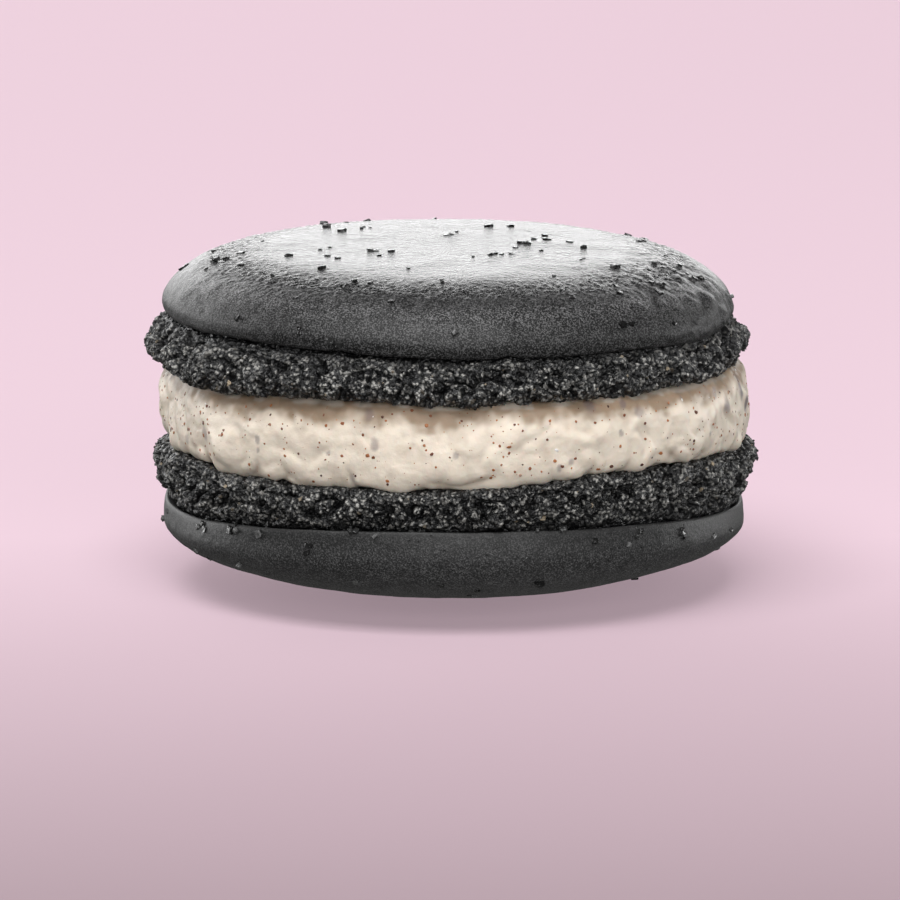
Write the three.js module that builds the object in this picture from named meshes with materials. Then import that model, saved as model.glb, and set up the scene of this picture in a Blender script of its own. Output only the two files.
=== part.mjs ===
// A French macaron, in millimetres, +Z up. Two baked almond shells, each a smooth domed crust over a
// ruffled, porous foot, are pressed together on a thick round of cream. The origin is on the surface
// that the macaron stands on, under the middle of the stack.
import * as THREE from "three";

// Segments around the stack, and steps along each stretch of a profile.
const SEGMENTS = 84;
const FACE_STEPS = 2;
const FOOT_STEPS = 8;
const LIP_STEPS = 3;
const CRUST_STEPS = 9;
const CREAM_STEPS = 10;
const ON_AXIS = 1e-6; // radius below which a vertex is on the axis

// How thick each layer is, from the surface up.
const LOWER_CRUST_HEIGHT = 7.9;
const LOWER_FOOT_HEIGHT = 3.2;
const CREAM_HEIGHT = 6.0;
const UPPER_FOOT_HEIGHT = 3.7;
const UPPER_CRUST_HEIGHT = 4.6;

// The two shells lie slightly off each other's axis, as hand-paired shells do.
const LOWER_SHIFT_X = 0.2;
const UPPER_SHIFT_X = -0.25;

// Each shell is drawn foot down, from its flat inner face at height 0 up to the top of its crust.
//   foot      radius at its bulge, how far the bulge stands out, its ruffles' depth, how full its
//             curve is, and how high its widest point is as a share of its height
//   groove    radius of the neck between the foot and the crust
//   crust     radius at its widest, the height of that above the groove, its waves' depth, and how
//             much it rises for each millimetre towards +X
//   dome      powers of |r / R|^across + |h / H|^up = 1: high powers give a boxy shoulder
//   flat      radius of the flat spot on the top of the dome
const upperShell = {
  foot: { radius: 22.4, height: UPPER_FOOT_HEIGHT, bulge: 2.1, ruffle: 0.34, fullness: 2.3, widest: 0.38 },
  groove: { radius: 20.5 },
  crust: { radius: 21.25, height: UPPER_CRUST_HEIGHT, lip: 0.8, wave: 0.2, tilt: -0.015 },
  dome: { across: 5.2, up: 1.45 },
  flat: { radius: 4 },
  seed: 1.3,
};
const lowerShell = {
  foot: { radius: 22.3, height: LOWER_FOOT_HEIGHT, bulge: 2.0, ruffle: 0.34, fullness: 2.3, widest: 0.45 },
  groove: { radius: 21.0 },
  crust: { radius: 21.85, height: LOWER_CRUST_HEIGHT, lip: 2.0, wave: 0.15, tilt: 0.01 },
  dome: { across: 1.8, up: 2.3 },
  flat: { radius: 5.5 },
  seed: 4.1,
};
const cream = {
  contactRadius: 20.9, // where it meets the shells
  radius: 22.05, // at its bulge
  height: CREAM_HEIGHT,
  fullness: 2.6,
  wave: 0.16,
  seed: 2.6,
};

// Waves around the stack: how many there are in a turn, and the share of the depth that each has.
const footWaves = { counts: [3, 5, 8, 13, 21], shares: [0.24, 0.22, 0.2, 0.2, 0.14], slant: 0.5 };
const crustWaves = { counts: [2, 3, 5], shares: [0.5, 0.3, 0.2], slant: 0 };
const creamWaves = { counts: [2, 5, 9, 14], shares: [0.3, 0.25, 0.25, 0.2], slant: 0.35 };

// A sum of sine waves in the angle, from -1 to 1. Slanted waves shift sideways with height.
function wavesAt(angle, height, waves, seed) {
  return waves.counts.reduce((sum, count, k) => {
    const phase = seed * (k + 1) * 1.9 + waves.slant * height * (k + 1);
    return sum + waves.shares[k] * Math.sin(count * angle + phase);
  }, 0);
}

// Evenly spaced numbers from 0 to 1, both included.
function steps(count) {
  return Array.from({ length: count + 1 }, (_, i) => i / count);
}

// A point of the curve |r / a|^p + |h / b|^q = 1, at an angle from its widest point towards its top.
function roundedPoint(angle, a, b, p, q) {
  const across = Math.max(Math.cos(angle), 0);
  const up = Math.sin(angle);
  return new THREE.Vector2(a * across ** (2 / p), b * Math.sign(up) * Math.abs(up) ** (2 / q));
}

// The flat inner face, out from the axis to where the foot starts to curve up.
function facePoints(outerRadius, height) {
  return steps(FACE_STEPS).map((t) => new THREE.Vector2(outerRadius * t, height));
}

// The foot's outer side: a full curve from the flat face, out to the bulge and back to the neck.
function footPoints({ foot }) {
  const coreRadius = foot.radius - foot.bulge;
  const widestAt = foot.height * foot.widest;
  return steps(FOOT_STEPS).slice(1).map((t) => {
    const angle = Math.PI * (t - 0.5);
    const reach = angle < 0 ? widestAt : foot.height - widestAt;
    const point = roundedPoint(angle, foot.bulge, reach, foot.fullness, 2);
    return new THREE.Vector2(coreRadius + point.x, widestAt + point.y);
  });
}

// The lip that overhangs the groove: a quarter turn from the neck out to the crust's widest point.
function lipPoints({ foot, groove, crust }) {
  return steps(LIP_STEPS).map((t) => {
    const angle = (Math.PI / 2) * (t - 1);
    const point = roundedPoint(angle, crust.radius - groove.radius, crust.lip, 2, 2);
    return new THREE.Vector2(groove.radius + point.x, foot.height + crust.lip + point.y);
  });
}

// The dome, from its widest point up to the flat spot at its top, which the last point closes. It is
// the lower part of a slightly higher dome, cut off where the radius is the flat spot's.
function crustPoints({ foot, crust, dome, flat }) {
  const base = foot.height + crust.lip;
  const rise = crust.height - crust.lip;
  const shareLeft = (1 - (flat.radius / crust.radius) ** dome.across) ** (1 / dome.up);
  const lastAngle = Math.acos((flat.radius / crust.radius) ** (dome.across / 2));
  const points = steps(CRUST_STEPS).slice(1).map((t) => {
    const point = roundedPoint(lastAngle * t, crust.radius, rise / shareLeft, dome.across, dome.up);
    return new THREE.Vector2(point.x, base + point.y);
  });
  return [...points, new THREE.Vector2(0, base + rise)];
}

// How far a height lies on its way from low to high, from 0 to 1.
function share(height, low, high) {
  return THREE.MathUtils.clamp((height - low) / (high - low), 0, 1);
}

// Turns a profile about the axis and stands it up, so that its heights lie along +Z.
function turned(profile) {
  return new THREE.LatheGeometry(profile, SEGMENTS).rotateX(Math.PI / 2);
}

// Moves each vertex outwards and upwards by what change(radius, angle, height) says. Those on the axis
// stay where they are.
function reshape(geometry, change) {
  const position = geometry.getAttribute("position");
  for (let i = 0; i < position.count; i++) {
    const x = position.getX(i);
    const y = position.getY(i);
    const height = position.getZ(i);
    const radius = Math.hypot(x, y);
    if (radius < ON_AXIS) continue;
    const { outwards, upwards } = change(radius, Math.atan2(y, x), height);
    const scale = (radius + outwards) / radius;
    position.setXYZ(i, x * scale, y * scale, height + upwards);
  }
  return geometry;
}

// One shell in one piece, foot down. The foot ruffles in and out between its flat face and the
// groove. The crust waves gently and tilts, and both fade out towards its flat top.
function shellGeometry(shell) {
  const { foot, crust, seed } = shell;
  const profile = [
    ...facePoints(foot.radius - foot.bulge, 0),
    ...footPoints(shell),
    ...lipPoints(shell),
    ...crustPoints(shell),
  ];
  return reshape(turned(profile), (radius, angle, height) => {
    const upFoot = share(height, 0, foot.height);
    const upLip = share(height, foot.height, foot.height + crust.lip);
    const upDome = share(height, foot.height + crust.lip, foot.height + crust.height);
    const ruffleDepth = foot.ruffle * Math.sqrt(Math.sin(Math.PI * upFoot));
    const waveDepth = crust.wave * upLip * (1 - upDome);
    const ruffle = ruffleDepth * wavesAt(angle, height, footWaves, seed);
    const wave = waveDepth * wavesAt(angle, height, crustWaves, seed);
    return {
      outwards: ruffle + wave,
      upwards: crust.tilt * upFoot * (1 - upDome) * radius * Math.cos(angle),
    };
  });
}

// The round of cream, with flat faces on both shells and a soft, wavy side.
function creamGeometry({ contactRadius, radius, height, fullness, wave, seed }) {
  const middle = height / 2;
  const side = steps(CREAM_STEPS).map((t) => {
    const angle = Math.PI * (t - 0.5);
    const point = roundedPoint(angle, radius - contactRadius, middle, 2, fullness);
    return new THREE.Vector2(contactRadius + point.x, middle + point.y);
  });
  const profile = [
    ...facePoints(contactRadius, 0).slice(0, -1),
    ...side,
    ...facePoints(contactRadius, height).slice(0, -1).reverse(),
  ];
  return reshape(turned(profile), (_, angle, h) => {
    const depth = wave * Math.sin((Math.PI * h) / height); // none on the two flat faces
    return { outwards: depth * wavesAt(angle, h, creamWaves, seed), upwards: 0 };
  });
}

function material(name, color, roughness) {
  return new THREE.MeshStandardMaterial({ name, color, roughness, metalness: 0 });
}

const shellMaterial = material("shell", 0x4b4a4b, 0.6);
const creamMaterial = material("cream", 0xe6d8c6, 0.55);

// Heights of the two faces that the cream is pressed between.
const creamBottom = LOWER_CRUST_HEIGHT + LOWER_FOOT_HEIGHT;
const creamTop = creamBottom + CREAM_HEIGHT;

const lower = new THREE.Mesh(shellGeometry(lowerShell), shellMaterial);
lower.name = "lower_shell";
lower.rotation.x = Math.PI; // crust down
lower.position.set(LOWER_SHIFT_X, 0, creamBottom);

const filling = new THREE.Mesh(creamGeometry(cream), creamMaterial);
filling.name = "cream_filling";
filling.position.z = creamBottom;

const upper = new THREE.Mesh(shellGeometry(upperShell), shellMaterial);
upper.name = "upper_shell";
upper.position.set(UPPER_SHIFT_X, 0, creamTop);

const macaron = new THREE.Group();
macaron.name = "macaron";
macaron.add(lower, filling, upper);

export default macaron;
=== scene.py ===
from math import cos, pi, radians, sin

import bmesh
import bpy
import numpy as np
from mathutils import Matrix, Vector


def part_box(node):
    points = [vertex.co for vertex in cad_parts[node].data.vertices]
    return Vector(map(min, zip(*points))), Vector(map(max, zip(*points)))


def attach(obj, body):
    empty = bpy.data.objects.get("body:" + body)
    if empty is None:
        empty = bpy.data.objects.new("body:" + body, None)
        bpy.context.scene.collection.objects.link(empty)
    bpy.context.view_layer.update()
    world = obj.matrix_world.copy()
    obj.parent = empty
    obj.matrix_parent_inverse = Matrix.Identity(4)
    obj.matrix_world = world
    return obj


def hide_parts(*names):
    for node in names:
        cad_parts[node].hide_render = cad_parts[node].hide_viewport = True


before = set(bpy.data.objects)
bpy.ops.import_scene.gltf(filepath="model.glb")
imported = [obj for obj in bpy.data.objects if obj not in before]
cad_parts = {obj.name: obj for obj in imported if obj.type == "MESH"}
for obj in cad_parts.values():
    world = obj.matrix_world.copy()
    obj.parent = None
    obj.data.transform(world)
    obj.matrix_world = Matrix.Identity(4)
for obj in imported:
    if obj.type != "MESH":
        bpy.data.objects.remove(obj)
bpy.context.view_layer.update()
mm = 0.001  # the sizes below are in millimetres, Blender's in metres

# where the cream begins and ends, and where the stack ends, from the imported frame
creamBox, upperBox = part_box("cream_filling"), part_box("upper_shell")
creamBottom, creamTop = creamBox[0][2] / mm, creamBox[1][2] / mm
stackTop = upperBox[1][2] / mm


# noise on whole arrays

tableSize = 4096
dice = np.random.default_rng(7)
shuffled = dice.permutation(tableSize)
slopes = dice.normal(size=(tableSize, 3))
slopes /= np.linalg.norm(slopes, axis=1)[:, None]
jitters = dice.random((tableSize, 3))
shades = dice.random(tableSize)


def latticeCode(ix, iy, iz):
    # one shuffled table looked up three times: t[t[t[x] + y] + z], every index wrapped
    wrap = tableSize - 1
    return shuffled[(shuffled[(shuffled[ix & wrap] + iy) & wrap] + iz) & wrap]


def softNoise(points, size, seed=0):
    # gradient noise from about -1 to 1: each lattice corner's slope times the offset from that corner,
    # blended across the cell by 6t^5 - 15t^4 + 10t^3
    p = points / size + seed * 17.31
    cell = np.floor(p).astype(np.int64)
    f = p - cell
    fade = f * f * f * (f * (f * 6 - 15) + 10)
    total = np.zeros(p.shape[:-1])
    for dx in (0, 1):
        for dy in (0, 1):
            for dz in (0, 1):
                corner = np.array((dx, dy, dz))
                slope = slopes[latticeCode(*(cell[..., k] + corner[k] for k in range(3)))]
                share = np.prod(np.where(corner == 1, fade, 1 - fade), axis=-1)
                total += share * np.sum(slope * (f - corner), axis=-1)
    return total * 1.5


def layeredNoise(points, size, layers, seed=0):
    # sum over k of 0.5^k * softNoise(points, size / 2^k)
    return sum(0.5**k * softNoise(points, size / 2**k, seed + k) for k in range(layers))


def cellNoise(points, size, seed=0):
    # distances to the nearest and second nearest of one random point per cell, in cells, and the
    # nearest one's own random shade
    p = points / size + seed * 11.73
    cell = np.floor(p).astype(np.int64)
    nearest = np.full(p.shape[:-1], 9.0)
    second = nearest.copy()
    shade = np.zeros(p.shape[:-1])
    for dx in (-1, 0, 1):
        for dy in (-1, 0, 1):
            for dz in (-1, 0, 1):
                there = cell + (dx, dy, dz)
                code = latticeCode(there[..., 0], there[..., 1], there[..., 2])
                gap = np.linalg.norm(there + jitters[code] - p, axis=-1)
                closer = gap < nearest
                second = np.where(closer, nearest, np.minimum(second, gap))
                shade = np.where(closer, shades[code], shade)
                nearest = np.where(closer, gap, nearest)
    return nearest, second, shade


def smoothStep(x, low, high):
    # 0 below low, 1 above high, 3t^2 - 2t^3 between them; where high is the lower one, it falls
    t = np.clip((x - low) / (high - low), 0, 1)
    return t * t * (3 - 2 * t)


def hump(x, middle, width):
    # exp(-((x - middle) / width)^2)
    return np.exp(-(((x - middle) / width) ** 2))


# surfaces on a grid: a profile carried once round the axis


def spread(profile, rows, finer):
    # rows points along the profile, as dense as finer(r, z) says for each stretch of it
    r, z = profile
    weight = finer((r[1:] + r[:-1]) / 2, (z[1:] + z[:-1]) / 2)
    along = np.concatenate([[0], np.cumsum(np.hypot(np.diff(r), np.diff(z)) * weight)])
    at = np.linspace(0, along[-1], rows)
    return np.interp(at, along, r), np.interp(at, along, z)


def turned(profile, columns):
    # x = r sin(a), y = -r cos(a), z = z: the angle a is 0 at the front and grows towards +X
    r, z = profile
    a = np.arange(columns) * 2 * pi / columns
    grid = np.empty((len(r), columns, 3))
    grid[..., 0] = r[:, None] * np.sin(a)
    grid[..., 1] = -r[:, None] * np.cos(a)
    grid[..., 2] = z[:, None]
    return grid, np.broadcast_to(a, grid.shape[:2])


def gridNormals(grid):
    # unit cross product of the steps round the axis and along the profile
    around = np.roll(grid, -1, axis=1) - np.roll(grid, 1, axis=1)
    along = np.gradient(grid, axis=0)
    normal = np.cross(around, along)
    return normal / np.maximum(np.linalg.norm(normal, axis=-1), 1e-12)[..., None]


def closedMesh(name, grid, attributes):
    # the grid's cells as quads, with a fan of triangles to one point on the axis at each end
    rows, columns = grid.shape[:2]
    count = rows * columns
    here = np.arange(count).reshape(rows, columns)
    right = np.roll(here, -1, axis=1)
    quads = np.stack([here[:-1], right[:-1], right[1:], here[1:]], axis=-1).reshape(-1, 4)
    firstFan = np.stack([right[0], here[0], np.full(columns, count)], axis=-1)
    lastFan = np.stack([here[-1], right[-1], np.full(columns, count + 1)], axis=-1)
    ends = grid[[0, -1]].mean(axis=1)
    vertices = np.concatenate([grid.reshape(-1, 3), ends]) * mm
    mesh = bpy.data.meshes.new(name)
    mesh.from_pydata(vertices, [], quads.tolist() + firstFan.tolist() + lastFan.tolist())
    for key, values in attributes.items():
        layer = mesh.attributes.new(key, "FLOAT", "POINT")
        ended = np.concatenate([values.ravel(), values[[0, -1]].mean(axis=1)])
        layer.data.foreach_set("value", ended.astype(np.float32))
    return finished(name, mesh)


def finished(name, mesh, smooth=True):
    # the mesh as an object at the origin, unturned and unscaled
    mesh.polygons.foreach_set("use_smooth", np.full(len(mesh.polygons), smooth))
    mesh.update()
    mesh.validate()
    piece = bpy.data.objects.new(name, mesh)
    bpy.context.collection.objects.link(piece)
    return piece


def arc(centre, reach, start, end, count, powers=(2, 2)):
    # |r / a|^p + |z / b|^q = 1 about a centre, from one angle to another, in degrees
    t = np.radians(np.linspace(start, end, count))
    across = np.sign(np.cos(t)) * np.abs(np.cos(t)) ** (2 / powers[0])
    up = np.sign(np.sin(t)) * np.abs(np.sin(t)) ** (2 / powers[1])
    return np.array([centre[0] + reach[0] * across, centre[1] + reach[1] * up])


# seams: the lines where the layers meet, which rise and dip round the stack

# for each seam, bumps as (angle in degrees from the front towards +X, width in degrees, rise)
seams = {
    "upperLip": [(-45, 22, 0.15), (62, 16, -0.35), (150, 30, 0.2), (-22, 2, 0.16), (12, 1.6, 0.2)],
    "upperEdge": [(-52, 14, -0.52), (-80, 12, -0.15), (40, 22, -0.08), (170, 40, -0.15)],
    "lowerEdge": [(40, 20, 0.50), (-30, 34, -0.45), (20, 13, 0.2), (175, 45, 0.2)],
    "lowerLip": [
        (-72, 40, -0.95), (80, 36, -1.1), (0, 24, 0.2), (-90, 16, -0.3), (90, 16, -0.25), (180, 30, -0.3),
    ],
}


def turnFrom(a, degrees):
    # the angle from a direction, in degrees, from -180 to 180
    return (np.degrees(a) - degrees + 180) % 360 - 180


def seamAt(name, a):
    # sum of rise * exp(-(turn / width)^2), and a little unevenness
    ring = 20 * np.stack([np.sin(a), -np.cos(a), np.full_like(a, len(name))], axis=-1)
    uneven = 0.10 * layeredNoise(ring, 8, 3, len(name))
    return uneven + sum(rise * hump(turnFrom(a, angle), 0, width) for angle, width, rise in seams[name])


def shareUp(grid, low, high):
    # how far each point lies on its way from one height to another
    return np.clip((grid[..., 2] - low) / (high - low), 0, 1)


# crusts

upperCrust = {
    "seam": "upperLip",
    "lip": 20.5,  # height of the lip's edge
    "widest": 21.45,  # height of the widest line
    "top": stackTop,
    "radius": 21.33,
    "lipIn": 0.22,  # the lip stands this much inside the widest line
    "neck": 19.8,  # radius where the underside meets the foot
    "powers": (6.3, 1.37),  # across and up: a boxy shoulder under a flat top
    "shift": (-0.15, 0.0),
    "tilt": -0.012,
    "lumps": [(70, 22, 0.36), (-72, 22, 0.08), (165, 40, 0.12)],  # angle, width in degrees, depth
    "pebbles": (0.02, 0.16),  # their height on the wall and on the shoulder
    "rows": 104,
    "columns": 940,
}
lowerCrust = {
    "seam": "lowerLip",
    "lip": 7.75,
    "widest": 6.1,
    "top": 0.0,
    "radius": 21.9,
    "lipIn": 0.15,
    "neck": 20.0,
    "powers": (1.75, 2.3),
    "shift": (0.12, 0.0),
    "tilt": 0.0,
    "lumps": [(-75, 20, 0.08)],
    "pebbles": (0.02, 0.02),
    "rows": 104,
    "columns": 940,
}


def crustProfile(c):
    # underside out from the axis, a rounded lip, a nearly upright wall, and the superellipse dome
    up = 1 if c["top"] > c["lip"] else -1
    lipRadius = c["radius"] - c["lipIn"]
    edge = 0.14
    under = np.array([[0.4, c["neck"]], [c["lip"] + up * 0.7] * 2])
    curl = arc((lipRadius - edge, c["lip"] + up * edge), (edge, up * edge), -150, -10, 20)
    bend = up * abs(c["widest"] - c["lip"]) * 0.9
    wall = arc((lipRadius - 0.02, c["widest"]), (c["lipIn"] + 0.02, bend), -78, 0, 24, (2, 1.6))
    dome = arc((0, c["widest"]), (c["radius"], c["top"] - c["widest"]), 0.4, 89.4, 400, c["powers"])
    return np.concatenate([under, curl, wall, dome], axis=1)


def crustRelief(c, grid, a, height, radius, seed):
    # layers of soft noise, round pebbles tall * (0.5 - distance to the nearest one), and lumpy patches
    relief = 0.08 * softNoise(grid, 6.5, seed) + 0.04 * softNoise(grid, 2.4, seed + 1)
    fine = 0.016 * softNoise(grid, 0.95, seed + 2) + 0.005 * softNoise(grid, 0.5, seed + 3)
    relief += fine * smoothStep(radius, 8, 13)
    wall, shoulder = c["pebbles"]
    tall = (wall + (shoulder - wall) * smoothStep(height, 0.6, 0.88)) * smoothStep(radius, 12, 18)
    nearest, _, _ = cellNoise(grid, 0.4, seed + 7)
    relief += tall * (0.5 - nearest)
    for angle, width, depth in c["lumps"]:
        patch = depth * hump(turnFrom(a, angle), 0, width) * smoothStep(radius, 12, 19)
        relief += patch * (np.abs(layeredNoise(grid, 2.3, 2, seed + 5)) - 0.15)
    return relief


def makeCrust(name, c, seed):
    # the profile turned, its outline waved, tilted, bent to its seam, and raised along its normals
    up = 1 if c["top"] > c["lip"] else -1
    rise = abs(c["top"] - c["lip"])

    def finer(r, z):
        inside = (r < c["neck"]) & (np.abs(z - c["lip"]) < 0.8)
        return np.where(inside, 0.02, 0.5 + 1.2 * hump(r, 17.5, 4) + 0.8 * hump(z, c["lip"], 0.8))

    r, z = spread(crustProfile(c), c["rows"], finer)
    grid, a = turned((r[::up], z[::up]), c["columns"])
    height = np.abs(grid[..., 2] - c["lip"]) / rise  # 0 at the lip, 1 at the top
    radius = np.hypot(grid[..., 0], grid[..., 1])
    out = smoothStep(radius, 2, 18)
    wave = 0.10 * np.sin(2 * a + seed) + 0.07 * np.sin(3 * a + 2 * seed) + 0.05 * np.sin(5 * a + 3 * seed)
    grid[..., :2] *= (1 + wave * out / c["radius"])[..., None]
    grid[..., 2] += c["tilt"] * grid[..., 0] * out
    grid[..., 2] += seamAt(c["seam"], a) * out * (1 - smoothStep(height, 0.0, 0.8))
    grid[..., 0] += c["shift"][0]
    normal = gridNormals(grid)
    body = smoothStep(height, 0.02, 0.15) * (1 if up > 0 else 1 - smoothStep(height, 0.93, 0.99))
    relief = crustRelief(c, grid, a, height, radius, seed)
    grid = grid + normal * (relief * body)[..., None]
    if up < 0:
        grid[..., 2] = np.maximum(grid[..., 2], 0)  # flat where it stands
    return closedMesh(name, grid, {"height": np.clip(height, 0, 1)}), grid, gridNormals(grid)


print("crusts")
upperCrustPiece, upperCrustGrid, upperCrustNormals = makeCrust("upperCrust", upperCrust, 3)
lowerCrustPiece, lowerCrustGrid, lowerCrustNormals = makeCrust("lowerCrust", lowerCrust, 8)


# feet

upperFoot = {
    "seams": ("upperEdge", "upperLip"),
    "bottom": creamTop - 0.02,
    "top": 20.65,
    "widest": 0.32,  # height of the bulge as a share of the foot
    "radius": 22.12,
    "core": 20.0,
    "lowPowers": (2.6, 2.2),
    "highPowers": (1.7, 1.7),
    "crustAbove": True,
    "shift": (-0.3, 0.0),
    "rows": 76,
    "columns": 1280,
    # angle, height share, width in degrees, height of the bump as a share, how far out
    "knobs": [
        (-93, 0.15, 10, 0.4, 0.7), (90, 0.55, 6, 0.4, 0.4), (-58, 0.3, 9, 0.4, 0.2), (20, 0.4, 7, 0.4, 0.1),
    ],
}
lowerFoot = {
    "seams": ("lowerLip", "lowerEdge"),
    "bottom": 7.5,
    "top": creamBottom + 0.02,
    "widest": 0.74,
    "radius": 22.1,
    "core": 20.9,
    "lowPowers": (1.9, 1.5),
    "highPowers": (2.4, 2.0),
    "crustAbove": False,
    "shift": (0.2, 0.0),
    "rows": 76,
    "columns": 1280,
    "knobs": [
        (-93, 0.6, 8, 0.25, 0.45), (-92, 1.05, 14, 0.3, -0.5),
        (84, 0.75, 10, 0.45, 0.55), (70, 0.8, 8, 0.3, 0.15),
    ],
}


def footProfile(f):
    # inner face, out and round the bulge with one curve below its widest line and one above, inner face
    middle = f["bottom"] + (f["top"] - f["bottom"]) * f["widest"]
    out = f["radius"] - f["core"]
    low = arc((f["core"], middle), (out, middle - f["bottom"]), -90, 0, 80, f["lowPowers"])
    high = arc((f["core"], middle), (out, f["top"] - middle), 0, 90, 80, f["highPowers"])
    inner = np.array([[0.5, f["core"] - 1.2], [f["bottom"]] * 2])
    outer = np.array([[f["core"] - 1.2, 0.5], [f["top"]] * 2])
    return np.concatenate([inner, low, high[:, 1:], outer], axis=1)


def makeFoot(name, f, seed):
    # broad clumps that carry cells of two sizes, each bulging by 0.5 - distance to its point, with
    # gaps and pores between them, all fading towards the flat face and the crust; their colour is darkened as
    # painted shade
    def finer(r, z):
        return np.where(r < f["core"] - 1, 0.02, np.where(r < f["core"] + 0.2, 0.4, 1.0))

    grid, a = turned(spread(footProfile(f), f["rows"], finer), f["columns"])
    share = shareUp(grid, f["bottom"], f["top"])
    radius = np.hypot(grid[..., 0], grid[..., 1])
    grid[..., 0] += f["shift"][0]
    grid[..., 2] += seamAt(f["seams"][0], a) * (1 - share) + seamAt(f["seams"][1], a) * share
    toCrust = share if f["crustAbove"] else 1 - share
    exposed = smoothStep(radius, f["core"] - 0.6, f["core"] + 0.6)
    exposed *= 1 - 0.7 * smoothStep(toCrust, 0.72, 0.95)
    exposed *= 1 - 0.5 * smoothStep(toCrust, 0.12, 0.0)
    normal = gridNormals(grid)
    bent = grid + 0.34 * np.stack([softNoise(grid, 0.8, seed + k) for k in range(3)], axis=-1)
    clumps = layeredNoise(grid * (1, 1, 1.3), 3.2, 2, seed)
    near, second, lot = cellNoise(bent, 1.6, seed)
    gap = 1 - smoothStep(second - near, 0.0, 0.28)
    gapHere = smoothStep(layeredNoise(grid, 2.0, 2, seed + 9), -0.1, 0.35)
    granules, _, granuleShade = cellNoise(bent, 0.46, seed + 3)
    pore = smoothStep(layeredNoise(bent, 0.62, 2, seed + 12), 0.2, 0.5)
    relief = 0.26 * clumps + 0.42 * (lot - 0.5) + 0.30 * (0.5 - near) + 0.24 * (0.5 - granules)
    relief += 0.10 * softNoise(bent, 0.26, seed + 4)
    relief -= 0.7 * gap * gapHere + 0.42 * pore
    for angle, level, width, tall, reach in f["knobs"]:
        relief += reach * hump(turnFrom(a, angle), 0, width) * hump(share, level, tall)
    moved = grid + normal * (relief * exposed)[..., None]
    # painted shade: the gaps, pores and granule edges are darkened in colour, with a painted shadow in the
    # band next to the crust and a painted contact shadow where the foot meets the cream
    paintedShade = np.clip(gap * gapHere + pore + 0.6 * smoothStep(granules, 0.42, 0.8), 0, 1) * exposed
    paintedShade = np.maximum(paintedShade, 0.95 * smoothStep(toCrust + 0.1 * clumps, 0.72, 0.9))
    paintedShade = np.maximum(paintedShade, 0.6 * smoothStep(toCrust, 0.14, 0.03))
    piece = closedMesh(name, moved, {"paintedShade": paintedShade, "shade": granuleShade * 0.6 + lot * 0.4})
    return piece, moved, gridNormals(moved), exposed * (1 - paintedShade)


print("feet")
upperFootPiece, upperFootGrid, upperFootNormals, upperFootOpen = makeFoot("upperFoot", upperFoot, 21)
lowerFootPiece, lowerFootGrid, lowerFootNormals, lowerFootOpen = makeFoot("lowerFoot", lowerFoot, 34)


# cream

cream = {
    "seams": ("lowerEdge", "upperEdge"),
    "bottom": creamBottom - 0.05,
    "top": creamTop + 0.15,
    "widest": 0.42,
    "radius": 21.95,
    "core": 20.3,
    "lowPowers": (2.8, 3.2),
    "highPowers": (2.1, 2.2),
    "shift": (0.35, 0.0),
    "rows": 96,
    "columns": 960,
    # soft dark smudges: angle, height share, size in millimetres, strength
    "smudges": [
        (76, 0.72, 0.8, 1.0), (80, 0.5, 0.6, 1.0), (66, 0.62, 0.6, 0.9), (62, 0.82, 0.4, 0.6),
        (38, 0.78, 0.5, 0.6), (27, 0.9, 0.5, 0.6), (-17, 0.85, 0.4, 0.5), (-57, 0.42, 0.5, 0.6),
    ],
    "extraSmudges": 46,
}


def creamMarks(f, grid, a, share, relief, seed):
    # a tan tint, painted shade in the folds, a painted shadow along the top edge under the foot, a smear
    # under the foot, and soft round smudges
    tan = smoothStep(layeredNoise(grid * (1, 1, 1.3), 1.6, 3, seed + 8), 0.0, 0.7)
    # painted shade: darker where the relief sinks into folds
    shadeInFolds = smoothStep(-relief, 0.02, 0.2)
    uneven = 0.11 * softNoise(grid, 2, 4) + 0.07 * softNoise(grid, 0.7, 6)
    # painted shadow: a dark band along the top edge, under the upper foot
    shadowUnderFoot = smoothStep(share + uneven, 0.67, 0.89)
    tan = np.clip(0.2 * tan + 0.4 * shadeInFolds + shadowUnderFoot, 0, 1)
    ragged = layeredNoise(grid * (1, 1, 0), 2.0, 3, seed + 4)
    smear = smoothStep(share, 0.91 - 0.03 * ragged, 0.94) * smoothStep(ragged, -0.3, 0.2)
    spots = list(f["smudges"])
    for angle, level, size in np.random.default_rng(91).random((f["extraSmudges"], 3)):
        spots.append((360 * angle, 0.1 + 0.8 * level, 0.13 + 0.3 * size**2, 0.65))
    smudge = np.zeros_like(share)
    waver = 0.22 * softNoise(grid, 0.6, 17)
    for angle, level, size, strength in spots:
        across = np.radians(turnFrom(a, angle)) * f["radius"]
        up = (share - level) * (f["top"] - f["bottom"])
        apart = np.hypot(across, up * 0.75) + waver
        smudge = np.maximum(smudge, strength * (1 - smoothStep(apart, size * 0.35, size * 1.1)))
    return {"tan": tan, "smear": smear, "smudge": smudge}


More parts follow.
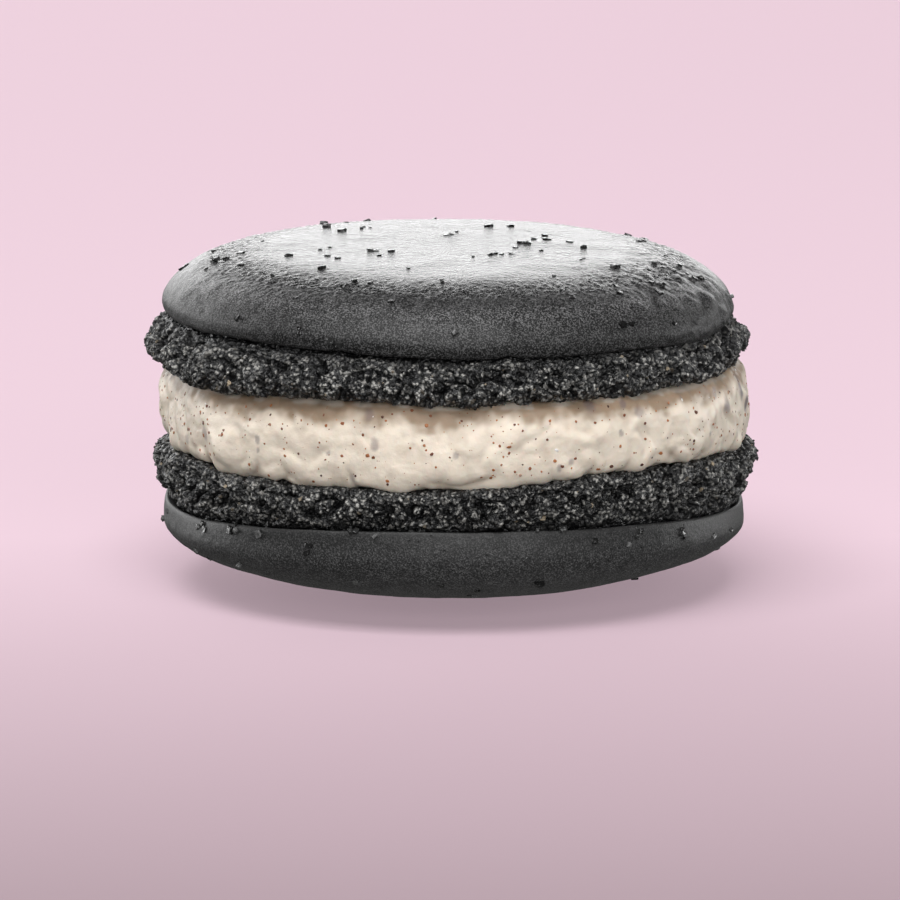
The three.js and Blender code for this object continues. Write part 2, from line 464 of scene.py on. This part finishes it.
def makeCream(name, f, seed):
    # soft billows sqrt(noise^2 + e), larger at the left, drawn into slanting ripples at the right
    def finer(r, z):
        return np.where(r < f["core"] - 1, 0.02, 1.0)

    def billow(points, size, key):
        return np.sqrt(softNoise(points, size, key) ** 2 + 0.012) - 0.25

    grid, a = turned(spread(footProfile(f), f["rows"], finer), f["columns"])
    share = shareUp(grid, f["bottom"], f["top"])
    radius = np.hypot(grid[..., 0], grid[..., 1])
    exposed = smoothStep(radius, f["core"] - 0.6, f["core"] + 0.7)
    grid[..., 0] += f["shift"][0]
    grid[..., 2] += seamAt(f["seams"][0], a) * (1 - share) + seamAt(f["seams"][1], a) * share
    normal = gridNormals(grid)
    turn = turnFrom(a, 0)
    drag = smoothStep(turn, 12, 50) * (1 - smoothStep(turn, 130, 170))
    puffy = smoothStep(-turn, 25, 60) * (1 - smoothStep(-turn, 120, 170))
    bent = grid + 0.7 * np.stack([softNoise(grid, 2.2, seed + k) for k in range(3)], axis=-1)
    slanted = bent * (1, 1, 0.5) + bent[..., 2:3] * (0.3, 0.3, 0)
    relief = 0.42 * (0.8 + 0.6 * puffy) * billow(bent * (1, 1, 0.8), 4.2, seed)
    relief += 0.28 * (1 - 0.3 * drag) * billow(bent * (1, 1, 0.9), 2.0, seed + 1)
    relief += 0.30 * drag * billow(slanted, 1.4, seed + 2)
    relief += 0.035 * layeredNoise(bent, 0.9, 2, seed + 3)
    # the bottom edge hangs in scallops on the foot below
    scallop = np.abs(softNoise(grid * (1, 1, 0), 2.4, seed + 6)) - 0.2
    relief += 0.6 * scallop * hump(share, 0.06, 0.16)
    moved = grid + normal * (relief * exposed)[..., None]
    piece = closedMesh(name, moved, creamMarks(f, grid, a, share, relief, seed))
    return piece, moved, gridNormals(moved), exposed * (share > 0.08) * (share < 0.92)


print("cream")
creamPiece, creamGrid, creamNormals, creamOpen = makeCream("creamRound", cream, 5)


# small things scattered on the layers


def blockShape(bevel):
    # a cube with every edge and corner cut: three points at each corner, each pulled in on two axes
    points = []
    for x in (-1, 1):
        for y in (-1, 1):
            for z in (-1, 1):
                corner = np.array((x, y, z), float)
                points += [corner * np.where(np.arange(3) == k, 1, 1 - bevel) for k in range(3)]
    return hullOf(points)


def roundShape():
    # the twelve corners of an icosahedron
    g = (1 + 5**0.5) / 2
    points = [np.roll((0, x, y * g), k) for k in range(3) for x in (-1, 1) for y in (-1, 1)]
    return hullOf(np.array(points, float) / np.hypot(1, g))


def hullOf(points):
    # the convex hull of a few points as an array of points and a list of faces
    hull = bmesh.new()
    for point in points:
        hull.verts.new(point)
    bmesh.ops.convex_hull(hull, input=hull.verts)
    bmesh.ops.dissolve_limit(hull, angle_limit=0.01, verts=hull.verts, edges=hull.edges)
    hull.verts.index_update()
    shape = np.array([v.co for v in hull.verts]), [[v.index for v in face.verts] for face in hull.faces]
    hull.free()
    return shape


def turnsTo(normals, lean, rng):
    # for each normal, three axes: the normal leaned by a random amount, and two across it turned at random
    count = len(normals)
    up = normals + lean * rng.normal(size=(count, 3))
    up /= np.linalg.norm(up, axis=1)[:, None]
    side = np.cross(up, rng.normal(size=(count, 3)))
    side /= np.linalg.norm(side, axis=1)[:, None]
    return np.stack([side, np.cross(up, side), up], axis=-1)


def scattered(name, shape, places, turns, sizes, rough, shade, rng):
    # every copy is place + turn * (size * shape), with each of its points moved a little
    points, faces = shape
    count, each = len(places), len(points)
    own = points[None] * (1 + rough * rng.normal(size=(count, each, 1)))
    vertices = places[:, None] + np.einsum("nij,nkj->nki", turns, own * sizes[:, None])
    joined = [[i + k * each for i in face] for k in range(count) for face in faces]
    mesh = bpy.data.meshes.new(name)
    mesh.from_pydata(vertices.reshape(-1, 3) * mm, [], joined)
    layer = mesh.attributes.new("shade", "FLOAT", "POINT")
    layer.data.foreach_set("value", np.repeat(shade, each).astype(np.float32))
    return finished(name, mesh, False)


def pickOpen(rng, openness, count):
    # flat indices of grid points, each as likely as its openness
    weight = openness.ravel() / openness.sum()
    return rng.choice(weight.size, count, replace=False, p=weight)


sugar = {
    "size": (0.12, 0.28),  # half a side
    "flakes": (0.3, 0.6),  # height as a share of that for those on the top
    "cubes": (0.5, 0.9),  # and for those on the walls
    "sunk": 0.4,
    # sprinkled on the top: angle, distance from the axis, how many, how far they spread
    "top": [
        (-102, 14.4, 1, 0), (-82, 17.4, 3, 0.6), (-91, 19.8, 2, 0.5), (-66, 18.2, 2, 0.9),
        (-72, 12.8, 2, 0.3), (-52, 16.8, 2, 0.5), (-37, 16.0, 1, 0), (-62, 7.2, 2, 1.0), (-138, 11, 3, 1.0),
        (-21, 15.9, 2, 0.6), (-13, 18.5, 1, 0), (-36, 19.0, 1, 0), (178, 4.6, 3, 0.8), (166, 8.8, 2, 1.3),
        (42, 4.7, 4, 0.7), (104, 5.6, 3, 0.5), (113, 8.3, 4, 0.8), (74, 7.3, 1, 0), (88, 10.3, 1, 0),
        (60, 11.3, 1, 0), (33, 14.2, 1, 0), (27, 18.5, 1, 0), (43, 18.3, 1, 0), (56, 18.6, 3, 0.6),
        (72, 16.8, 4, 0.8), (112, 15.5, 2, 0.4), (78, 18.3, 5, 0.7), (-170, 17, 1, 1), (-150, 19, 2, 1),
        (140, 18, 2, 1),
    ],
    "topStrewn": 36,
    "topReach": (1.5, 20.6),  # the nearest and the farthest from the axis
    # on the upper crust's wall: angle, height, how many, how far they spread
    "wall": [
        (-47, 22.1, 1, 0), (-31.5, 22.0, 2, 0.2), (-23.5, 21.5, 2, 0.05), (37, 22.8, 2, 0.2),
        (40, 22.2, 2, 0.3), (51.5, 22.1, 1, 0), (59, 21.9, 1, 0), (12, 21.0, 1, 0), (-22, 21.0, 1, 0),
        (140, 22, 3, 0.5), (-130, 22, 3, 0.5),
    ],
    "wallStrewn": 14,
    "wallHeights": (20.95, 22.9),
    # and on the lower crust
    "low": [
        (-58, 6.9, 4, 0.4), (-48, 7.0, 4, 0.4), (-39, 7.1, 2, 0.2), (-20, 7.2, 3, 0.2), (-14, 7.1, 2, 0.2),
        (-9, 7.1, 2, 0.2), (17, 7.2, 2, 0.2), (21, 7.1, 3, 0.25), (40, 6.8, 2, 0.4), (50, 6.2, 2, 0.3),
        (64, 5.9, 2, 0.4), (140, 7, 4, 0.6), (-140, 7, 4, 0.6), (4, 3.0, 3, 0.4), (-62, 4.4, 1, 0),
    ],
    "lowStrewn": 26,
    "lowHeights": (1.2, 7.3),
}


def sugarSpots(groups, strewn, low, high, rng):
    # angles and levels: the strewn ones anywhere, and each group's own ones spread round it
    angles = [360 * rng.random(strewn)]
    levels = [low + 0.9 * (high - low) * rng.random(strewn) ** 0.6]
    for angle, level, count, apart in groups:
        angles.append(angle + np.degrees(apart * rng.normal(size=count) / max(level, 12)))
        levels.append(np.clip(level + apart * rng.normal(size=count), low, high))
    return np.concatenate(angles), np.concatenate(levels)


def spotOn(grid, facing, keep, value, spots):
    # the grid points nearest some angles and, among the rows kept, nearest some values
    angles, levels = spots
    column = np.round((angles % 360) / 360 * grid.shape[1]).astype(int) % grid.shape[1]
    row = np.abs(np.where(keep, value, 1e9)[None] - levels[:, None]).argmin(axis=1)
    return grid[row, column], facing[row, column]


def rowSizes(grid):
    # each row's mean distance from the axis and mean height
    return np.hypot(grid[..., 0], grid[..., 1]).mean(axis=1), grid[..., 2].mean(axis=1)


def makeSugar(s):
    # one block for each spot, with 1 - sunk of its height above the crust
    rng = np.random.default_rng(41)
    reach, level = rowSizes(upperCrustGrid)
    onDome = level > upperCrust["widest"] + 0.3
    onWall = (reach > upperCrust["neck"] + 1) & (level < upperCrust["widest"] + 1.4)
    lowReach, lowLevel = rowSizes(lowerCrustGrid)
    onLow = lowLevel < lowerCrust["lip"] - 0.3
    onLow &= lowReach > np.where(lowLevel > 6, lowerCrust["neck"] + 1, 12)  # not on the hidden inner face
    top = sugarSpots(s["top"], s["topStrewn"], *s["topReach"], rng)
    wall = sugarSpots(s["wall"], s["wallStrewn"], *s["wallHeights"], rng)
    low = sugarSpots(s["low"], s["lowStrewn"], *s["lowHeights"], rng)
    found = [
        spotOn(upperCrustGrid, upperCrustNormals, onDome, reach, top),
        spotOn(upperCrustGrid, upperCrustNormals, onWall, level, wall),
        spotOn(lowerCrustGrid, lowerCrustNormals, onLow, lowLevel, low),
    ]
    places, normals = (np.concatenate(parts) for parts in zip(*found))
    count, onTop = len(places), len(found[0][0])
    size = rng.uniform(*s["size"], (count, 1)) * rng.uniform(0.7, 1.3, (count, 3))
    size[:onTop, 2] *= rng.uniform(*s["flakes"], onTop)
    size[onTop:, 2] *= rng.uniform(*s["cubes"], count - onTop)
    places = places + normals * size[:, 2:] * (1 - 2 * s["sunk"])
    turns = turnsTo(normals, 0.1, rng)
    shade = rng.random(count)
    shade[:onTop] *= 0.5  # the flakes are blacker than the cubes
    return scattered("sugarCrystals", blockShape(0.32), places, turns, size, 0.15, shade, rng)


crumbs = {"count": 5200, "size": (0.07, 0.22), "seed": 51}  # size is half of the width
almonds = {"count": 240, "size": (0.10, 0.24), "seed": 52}


def makeCrumbs(name, c):
    # rounded crumbs on both feet, more of them small: smallest + (largest - smallest) * random^2.5
    rng = np.random.default_rng(c["seed"])
    smallest, largest = c["size"]
    upper = (upperFootGrid, upperFootNormals, upperFootOpen)
    lower = (lowerFootGrid, lowerFootNormals, lowerFootOpen)
    places, normals = [], []
    for grid, facing, openness in (upper, lower):
        at = pickOpen(rng, openness, c["count"] // 2)
        places.append(grid.reshape(-1, 3)[at])
        normals.append(facing.reshape(-1, 3)[at])
    places, normals = np.concatenate(places), np.concatenate(normals)
    total = len(places)
    radius = (smallest + (largest - smallest) * rng.random(total) ** 2.5)[:, None]
    radius = radius * rng.uniform(0.6, 1.2, (total, 3))
    places = places + normals * radius.mean(axis=1)[:, None] * rng.uniform(-0.8, 0.1, (total, 1))
    turns = turnsTo(normals, 1.0, rng)
    return scattered(name, roundShape(), places, turns, radius, 0.26, rng.random(total), rng)


specks = {"count": 1000, "size": (0.035, 0.155), "flat": 0.35}  # flat is thickness as a share of width


def makeSpecks(s):
    # flat specks in the cream's surface, more of them small: smallest + (largest - smallest) * random^2.2
    rng = np.random.default_rng(77)
    count, (smallest, largest) = s["count"], s["size"]
    at = pickOpen(rng, creamOpen, count)
    places, normals = creamGrid.reshape(-1, 3)[at], creamNormals.reshape(-1, 3)[at]
    radius = (smallest + (largest - smallest) * rng.random(count) ** 2.2)[:, None]
    size = radius * np.stack([rng.uniform(0.8, 1.5, count), np.ones(count), np.full(count, s["flat"])], -1)
    turns = turnsTo(normals, 0.1, rng)
    return scattered("spiceSpecks", roundShape(), places, turns, size, 0.12, rng.random(count), rng)


print("sugar, crumbs and specks")
sugarPiece = makeSugar(sugar)
crumbPiece = makeCrumbs("footCrumbs", crumbs)
almondPiece = makeCrumbs("almondBits", almonds)
speckPiece = makeSpecks(specks)


# materials


def newMaterial(name, **values):
    # a material whose Principled BSDF has some sockets set
    material = bpy.data.materials.new(name)
    material.use_nodes = True
    shader = material.node_tree.nodes["Principled BSDF"]
    for key, value in values.items():
        shader.inputs[key].default_value = value
    return material, material.node_tree, shader


def addNode(tree, kind, settings=None, **values):
    # a node with its settings set, and each named input linked or given a value
    node = tree.nodes.new(kind)
    for key, value in (settings or {}).items():
        setattr(node, key, value)
    for key, value in values.items():
        socket = node.inputs[key]
        if isinstance(value, bpy.types.NodeSocket):
            tree.links.new(value, socket)
        else:
            socket.default_value = value
    return node


def ramp(tree, value, stops):
    # a colour ramp through (position, colour) stops, where a plain number is a grey
    node = tree.nodes.new("ShaderNodeValToRGB")
    tree.links.new(value, node.inputs["Fac"])
    elements = node.color_ramp.elements
    while len(elements) < len(stops):
        elements.new(0.5)
    for element, (at, colour) in zip(elements, stops):
        element.position = at
        element.color = (*colour, 1) if isinstance(colour, tuple) else (colour, colour, colour, 1)
    return node.outputs["Color"]


def mixColours(tree, share, first, second, kind="MIX"):
    # the first where the share is 0 and the second where it is 1, each of them linked or given
    node = tree.nodes.new("ShaderNodeMix")
    node.data_type = "RGBA"
    node.blend_type = kind
    for socket, value in ((node.inputs[0], share), (node.inputs[6], first), (node.inputs[7], second)):
        if isinstance(value, bpy.types.NodeSocket):
            tree.links.new(value, socket)
        else:
            socket.default_value = (*value, 1) if isinstance(value, tuple) else value
    return node.outputs[2]


def maths(tree, kind, *values):
    # one step of arithmetic on linked or given values
    node = tree.nodes.new("ShaderNodeMath")
    node.operation = kind
    for socket, value in zip(node.inputs, values):
        if isinstance(value, bpy.types.NodeSocket):
            tree.links.new(value, socket)
        else:
            socket.default_value = value
    return node.outputs[0]


def groupWith(name, inputs, outputs):
    # an empty node group with its sockets made, and its two end nodes
    group = bpy.data.node_groups.new(name, "ShaderNodeTree")
    for key, kind, value in inputs:
        socket = group.interface.new_socket(name=key, in_out="INPUT", socket_type=kind)
        if value is not None:
            socket.default_value = value
    for key, kind in outputs:
        group.interface.new_socket(name=key, in_out="OUTPUT", socket_type=kind)
    return group, group.nodes.new("NodeGroupInput"), group.nodes.new("NodeGroupOutput")


def makeGrain():
    # sandy grain: noise of one size with finer noise on it, as a value round 0.5
    group, given, out = groupWith(
        "sandyGrain",
        [("Vector", "NodeSocketVector", None), ("Grain Size mm", "NodeSocketFloat", 0.12)],
        [("Grain", "NodeSocketFloat")],
    )
    where = given.outputs["Vector"]
    scale = maths(group, "DIVIDE", 1000.0, given.outputs["Grain Size mm"])
    noise = addNode(group, "ShaderNodeTexNoise", Vector=where, Scale=scale, Detail=2.0, Roughness=0.7)
    group.links.new(noise.outputs["Fac"], out.inputs["Grain"])
    return group


def makeFlecks():
    # round flecks: 1 inside a random share of the cells, near each cell's point
    group, given, out = groupWith(
        "flecks",
        [
            ("Vector", "NodeSocketVector", None), ("Spacing mm", "NodeSocketFloat", 1.0),
            ("Size", "NodeSocketFloat", 0.2), ("Share", "NodeSocketFloat", 0.5),
        ],
        [("Mask", "NodeSocketFloat")],
    )
    scale = maths(group, "DIVIDE", 1000.0, given.outputs["Spacing mm"])
    cells = addNode(group, "ShaderNodeTexVoronoi", Vector=given.outputs["Vector"], Scale=scale)
    split = addNode(group, "ShaderNodeSeparateColor", Color=cells.outputs["Color"])
    size = maths(group, "MULTIPLY", given.outputs["Size"], maths(group, "ADD", split.outputs[1], 0.35))
    near = maths(group, "SUBTRACT", 1.0, maths(group, "DIVIDE", cells.outputs["Distance"], size))
    inside = maths(group, "MINIMUM", maths(group, "MAXIMUM", maths(group, "MULTIPLY", near, 3.0), 0.0), 1.0)
    chosen = maths(group, "LESS_THAN", split.outputs[0], given.outputs["Share"])
    group.links.new(maths(group, "MULTIPLY", inside, chosen), out.inputs["Mask"])
    return group


grainGroup, fleckGroup = makeGrain(), makeFlecks()


def grainOf(tree, where, size):
    values = {"Vector": where, "Grain Size mm": size}
    return addNode(tree, "ShaderNodeGroup", {"node_tree": grainGroup}, **values).outputs["Grain"]


def flecksOf(tree, where, spacing, size, share):
    values = {"Vector": where, "Spacing mm": spacing, "Size": size, "Share": share}
    return addNode(tree, "ShaderNodeGroup", {"node_tree": fleckGroup}, **values).outputs["Mask"]


def bumped(tree, height, distance):
    return addNode(tree, "ShaderNodeBump", Height=height, Distance=distance).outputs["Normal"]


def attributeOf(tree, name):
    return addNode(tree, "ShaderNodeAttribute", {"attribute_name": name}).outputs["Fac"]


def objectPlace(tree):
    return addNode(tree, "ShaderNodeTexCoord").outputs["Object"]


def crustMaterial(name, look):
    # salt and pepper grain over pebbles and fine pits painted black as shade; painted light and shade,
    # pebbles and gloss change with the height
    material, tree, shader = newMaterial(name, **{"IOR": 1.5, "Specular IOR Level": look["shine"]})
    where, high = objectPlace(tree), attributeOf(tree, "height")
    grain, mottle = grainOf(tree, where, 0.115), grainOf(tree, where, 1.1)
    value = maths(tree, "ADD", grain, maths(tree, "MULTIPLY", mottle, 0.15))
    # painted light and shade: the colour is scaled by the height, darker or lighter along the shell as the
    # light falls
    paintedShading = ramp(tree, high, look["paintedShading"])
    colour = mixColours(tree, 1.0, ramp(tree, value, look["colours"]), paintedShading, "MULTIPLY")
    # painted shade: the tiny pits are coloured near black as well as sunk by the bump
    pits = flecksOf(tree, where, 0.8, 0.1, 0.5)
    colour = mixColours(tree, pits, colour, (0.003, 0.003, 0.0035))
    tree.links.new(colour, shader.inputs["Base Color"])
    tree.links.new(ramp(tree, high, look["rough"]), shader.inputs["Roughness"])
    pebbles = maths(tree, "SUBTRACT", grainOf(tree, where, 0.42), 0.5)
    height = maths(tree, "MULTIPLY", pebbles, ramp(tree, high, look["pebbly"]))
    height = maths(tree, "ADD", height, maths(tree, "MULTIPLY", grain, 0.16))
    height = maths(tree, "SUBTRACT", height, maths(tree, "MULTIPLY", pits, 0.5))
    tree.links.new(bumped(tree, height, look["bump"] * mm), shader.inputs["Normal"])
    return material


def footMaterial(look):
    # granules: 0.7 * (1 - distance to the nearest cell point) + 0.5 * fine noise, on bent coordinates
    material, tree, shader = newMaterial("porousFoot", **{"Roughness": 0.38, "IOR": 1.5})
    where, scale = objectPlace(tree), 1000 / look["granule"]
    warp = addNode(tree, "ShaderNodeTexNoise", Vector=where, Scale=0.6 * scale)
    bent = addNode(tree, "ShaderNodeVectorMath", {"operation": "MULTIPLY_ADD"})
    bent.inputs[1].default_value = (0.0004, 0.0004, 0.0004)
    tree.links.new(warp.outputs["Color"], bent.inputs[0])
    tree.links.new(where, bent.inputs[2])
    cells = addNode(tree, "ShaderNodeTexVoronoi", Vector=bent.outputs[0], Scale=scale)
    fine = addNode(tree, "ShaderNodeTexNoise", Vector=where, Scale=1.7 * scale, Detail=2.0, Roughness=0.6)
    rounded = maths(tree, "MULTIPLY", maths(tree, "SUBTRACT", 1.0, cells.outputs["Distance"]), 0.7)
    granules = maths(tree, "ADD", rounded, maths(tree, "MULTIPLY", fine.outputs["Fac"], 0.5))
    # partly painted: the colour follows the granules' height, painted shade between them and painted
    # highlight on their crests; the cell shade adds the crumb's own random tone
    value = maths(tree, "ADD", granules, maths(tree, "MULTIPLY", attributeOf(tree, "shade"), 0.16))
    # painted shade: mixed towards near black in the gaps, pores and the bands by the crust and the cream
    colour = mixColours(tree, attributeOf(tree, "paintedShade"), ramp(tree, value, look["colours"]), look["paintedShadeColour"])
    tree.links.new(colour, shader.inputs["Base Color"])
    tree.links.new(bumped(tree, granules, look["bump"] * mm), shader.inputs["Normal"])
    return material


def crumbMaterial(name, dark, light):
    # each crumb's shade squared, times a fine grain, from a dark colour to a light one
    material, tree, shader = newMaterial(name, **{"Roughness": 0.42, "IOR": 1.5})
    grain = grainOf(tree, objectPlace(tree), 0.12)
    value = maths(tree, "MULTIPLY", attributeOf(tree, "shade"), attributeOf(tree, "shade"))
    value = maths(tree, "MULTIPLY", value, grain)
    tree.links.new(ramp(tree, value, [(0.02, dark), (0.6, light)]), shader.inputs["Base Color"])
    tree.links.new(bumped(tree, grain, 0.08 * mm), shader.inputs["Normal"])
    return material


def creamMaterial():
    # ivory, a tan tint with painted shade in its folds and a painted shadow along its top edge, with small
    # dots, dark smudges and a pale smear on it
    values = {"Roughness": 0.5, "IOR": 1.45, "Subsurface Weight": 0.1, "Subsurface Scale": 0.8 * mm}
    material, tree, shader = newMaterial("speckledCream", **values)
    where = objectPlace(tree)
    tan = maths(tree, "MULTIPLY", attributeOf(tree, "tan"), 0.9)
    # partly tan tint, partly painted shade and shadow: mixed towards dark brown
    colour = mixColours(tree, tan, (0.82, 0.72, 0.605), (0.27, 0.18, 0.11))
    dots = maths(tree, "MULTIPLY", flecksOf(tree, where, 0.6, 0.11, 0.45), 0.7)
    colour = mixColours(tree, dots, colour, (0.50, 0.22, 0.09))
    smudge = maths(tree, "MULTIPLY", attributeOf(tree, "smudge"), 0.78)
    colour = mixColours(tree, smudge, colour, (0.13, 0.10, 0.125))
    smear = maths(tree, "MULTIPLY", attributeOf(tree, "smear"), 0.7)
    colour = mixColours(tree, smear, colour, (0.52, 0.47, 0.41))
    tree.links.new(colour, shader.inputs["Base Color"])
    tree.links.new(bumped(tree, grainOf(tree, where, 0.45), 0.04 * mm), shader.inputs["Normal"])
    return material


def sugarMaterial():
    # nearly black, and clearer where the shade, to the power 2.5, is high
    material, tree, shader = newMaterial("blackSugar", **{"Roughness": 0.16, "IOR": 1.52})
    grain = grainOf(tree, objectPlace(tree), 0.25)
    shade = maths(tree, "POWER", attributeOf(tree, "shade"), 2.5)
    shade = maths(tree, "MULTIPLY", shade, maths(tree, "MULTIPLY", grain, 2.0))
    tree.links.new(ramp(tree, shade, [(0.0, 0.003), (1.0, 0.12)]), shader.inputs["Base Color"])
    tree.links.new(bumped(tree, grain, 0.06 * mm), shader.inputs["Normal"])
    return material


def speckMaterial():
    # most specks dark red to orange brown, a few nearly white
    material, tree, shader = newMaterial("spice", **{"Roughness": 0.45})
    colours = [(0.0, (0.06, 0.02, 0.013)), (0.25, (0.23, 0.065, 0.02)), (0.96, (0.50, 0.19, 0.06))]
    colour = ramp(tree, attributeOf(tree, "shade"), [*colours, (0.98, (0.9, 0.88, 0.85))])
    darker = maths(tree, "MULTIPLY", grainOf(tree, objectPlace(tree), 0.08), 0.4)
    colour = mixColours(tree, darker, colour, (0.06, 0.02, 0.015))
    tree.links.new(colour, shader.inputs["Base Color"])
    return material


print("materials")
# colours along the grain; painted light and shade, roughness and pebbles go from 0 at the lip to 1 at the top
topLook = crustMaterial("bakedTop", {
    "shine": 0.3,
    "bump": 0.24,
    "colours": [(0.48, (0.004, 0.004, 0.0042)), (0.575, (0.023, 0.0227, 0.023)), (0.67, (0.24, 0.237, 0.24))],
    # painted shade low on the wall near the lip, painted light part way up the shoulder
    "paintedShading": [(0.0, 0.5), (0.12, 0.36), (0.27, 0.34), (0.45, 0.47), (0.63, 0.74), (0.8, 0.42), (1.0, 0.45)],
    "rough": [(0.2, 0.52), (0.84, 0.26)],
    "pebbly": [(0.6, 0.3), (0.82, 0.65)],
})
baseLook = crustMaterial("bakedBase", {
    "shine": 0.5,
    "bump": 0.16,
    "colours": [(0.46, (0.024, 0.024, 0.025)), (0.59, (0.083, 0.0822, 0.0836)), (0.72, (0.34, 0.336, 0.34))],
    # painted shade at the lip, growing into painted light towards the bottom
    "paintedShading": [(0.0, 0.10), (0.12, 0.2), (0.24, 0.29), (0.35, 0.44), (0.5, 0.68), (0.8, 1.0)],
    "rough": [(0.0, 0.55), (1.0, 0.48)],
    "pebbly": [(0.0, 0.25), (1.0, 0.25)],
})
footLook = footMaterial({
    "granule": 0.38,  # millimetres
    "bump": 0.4,
    "colours": [(0.58, (0.002, 0.002, 0.0024)), (0.72, (0.034, 0.0342, 0.0355)), (0.89, (0.42, 0.41, 0.385))],
    # the near black of the painted shade
    "paintedShadeColour": (0.002, 0.002, 0.0025),
})
creamLook = creamMaterial()
crumbLook = crumbMaterial("darkCrumb", (0.006, 0.006, 0.007), (0.26, 0.25, 0.235))
almondLook = crumbMaterial("almond", (0.06, 0.05, 0.038), (0.40, 0.32, 0.22))
shown = (
    (upperCrustPiece, topLook, "upper_shell", "shell"),
    (upperFootPiece, footLook, "upper_shell", "shell"),
    (lowerCrustPiece, baseLook, "lower_shell", "shell"),
    (lowerFootPiece, footLook, "lower_shell", "shell"),
    (creamPiece, creamLook, "cream_filling", "cream"),
    (sugarPiece, sugarMaterial(), None, "sugar"),
    (crumbPiece, crumbLook, None, "shell"),
    (almondPiece, almondLook, None, "shell"),
    (speckPiece, speckMaterial(), None, "cream"),
)
for piece, look, node, slot in shown:
    piece.data.materials.append(look)
    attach(piece, "root")
    if node:
        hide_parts(node)


# stage, lights and camera

studio = {
    "near": (0.156, 0.119, 0.130),
    "far": (0.455, 0.343, 0.392),
    "glow": 0.7,  # keeps the shadow pale
    "flat": 1500,  # radius of the flat floor, in millimetres
    "curve": 400,
    "distance": 600,
    "elevation": 10.6,
    "lens": 320,
    "aim": (-0.07, -0.55, 10.0),
}


def makeStage(s):
    # a round floor that curves up into a low wall all round
    flat = np.array([[10.0, s["flat"] * 0.3, s["flat"] * 0.7], [0.0] * 3])
    bend = arc((s["flat"], s["curve"]), (s["curve"], s["curve"]), -90, 0, 24)
    wall = np.array([[s["flat"] + s["curve"]], [s["curve"] * 2.2]])
    profile = np.concatenate([flat, bend, wall], axis=1)
    grid, _ = turned((profile[0], profile[1]), 96)
    rows, columns = grid.shape[:2]
    here = np.arange(rows * columns).reshape(rows, columns)
    right = np.roll(here, -1, axis=1)
    quads = np.stack([here[1:], right[1:], right[:-1], here[:-1]], axis=-1).reshape(-1, 4)
    fan = np.stack([here[0], right[0], np.full(columns, rows * columns)], axis=-1)
    vertices = np.concatenate([grid.reshape(-1, 3), [[0, 0, 0]]]) * mm
    mesh = bpy.data.meshes.new("studioFloor")
    mesh.from_pydata(vertices, [], quads.tolist() + fan.tolist())
    floor = finished("studioFloor", mesh)
    # painted light: the paper glows in its own colour so that its shadows stay pale
    values = {"Specular IOR Level": 0.0, "Emission Strength": s["glow"]}
    material, tree, shader = newMaterial("palePaper", **values)
    # painted shade: the paper is darker towards the front and paler behind, a falloff of the light put into
    # its colour
    along = addNode(tree, "ShaderNodeSeparateXYZ", Vector=objectPlace(tree)).outputs["Y"]
    along = maths(tree, "ADD", maths(tree, "MULTIPLY", along, 6.0), 0.9)
    paper = ramp(tree, along, [(0.0, s["near"]), (1.0, s["far"])])
    tree.links.new(paper, shader.inputs["Base Color"])
    tree.links.new(paper, shader.inputs["Emission Color"])
    floor.data.materials.append(material)
    floor.visible_diffuse = floor.visible_glossy = False  # the paper doesn't tint what stands on it


def areaLight(name, place, size, power):
    # a white panel turned to the middle of the stack
    light = bpy.data.lights.new(name, "AREA")
    light.shape = "RECTANGLE"
    light.size, light.size_y = size[0] * mm, size[1] * mm
    light.energy = power
    lamp = bpy.data.objects.new(name, light)
    lamp.location = Vector(place) * mm
    lamp.rotation_euler = (Vector((0, 0, 13)) - Vector(place)).to_track_quat("-Z", "Y").to_euler()
    lamp.visible_camera = False
    bpy.context.collection.objects.link(lamp)


print("stage, lights and camera")
makeStage(studio)
areaLight("backPanel", (-260, 900, 250), (1800, 470), 9.4)
areaLight("keyPanel", (-150, -420, 920), (900, 600), 11)
areaLight("frontFill", (180, -950, 280), (1300, 560), 6.6)
areaLight("leftStrip", (-820, 380, 50), (350, 300), 3.4)
areaLight("rightStrip", (820, 380, 50), (350, 300), 3.4)

world = bpy.data.worlds.new("studioAir")
world.use_nodes = True
world.node_tree.nodes["Background"].inputs["Color"].default_value = (1.0, 0.98, 0.96, 1)
world.node_tree.nodes["Background"].inputs["Strength"].default_value = 0.12
bpy.context.scene.world = world
bpy.context.scene.view_settings.view_transform = "Standard"

camera = bpy.data.cameras.new("camera")
camera.lens, camera.sensor_width = studio["lens"], 36
camera.clip_start, camera.clip_end = 0.01, 10
cameraObject = bpy.data.objects.new("camera", camera)
tilt = radians(studio["elevation"])
back = Vector((0, -cos(tilt), sin(tilt)))
cameraObject.location = (Vector(studio["aim"]) + back * studio["distance"]) * mm
cameraObject.rotation_euler = (pi / 2 - tilt, 0, 0)
bpy.context.collection.objects.link(cameraObject)
bpy.context.scene.camera = cameraObject

for piece, *_ in shown:
    piece.data.calc_loop_triangles()
    print(piece.name, len(piece.data.loop_triangles), "triangles")
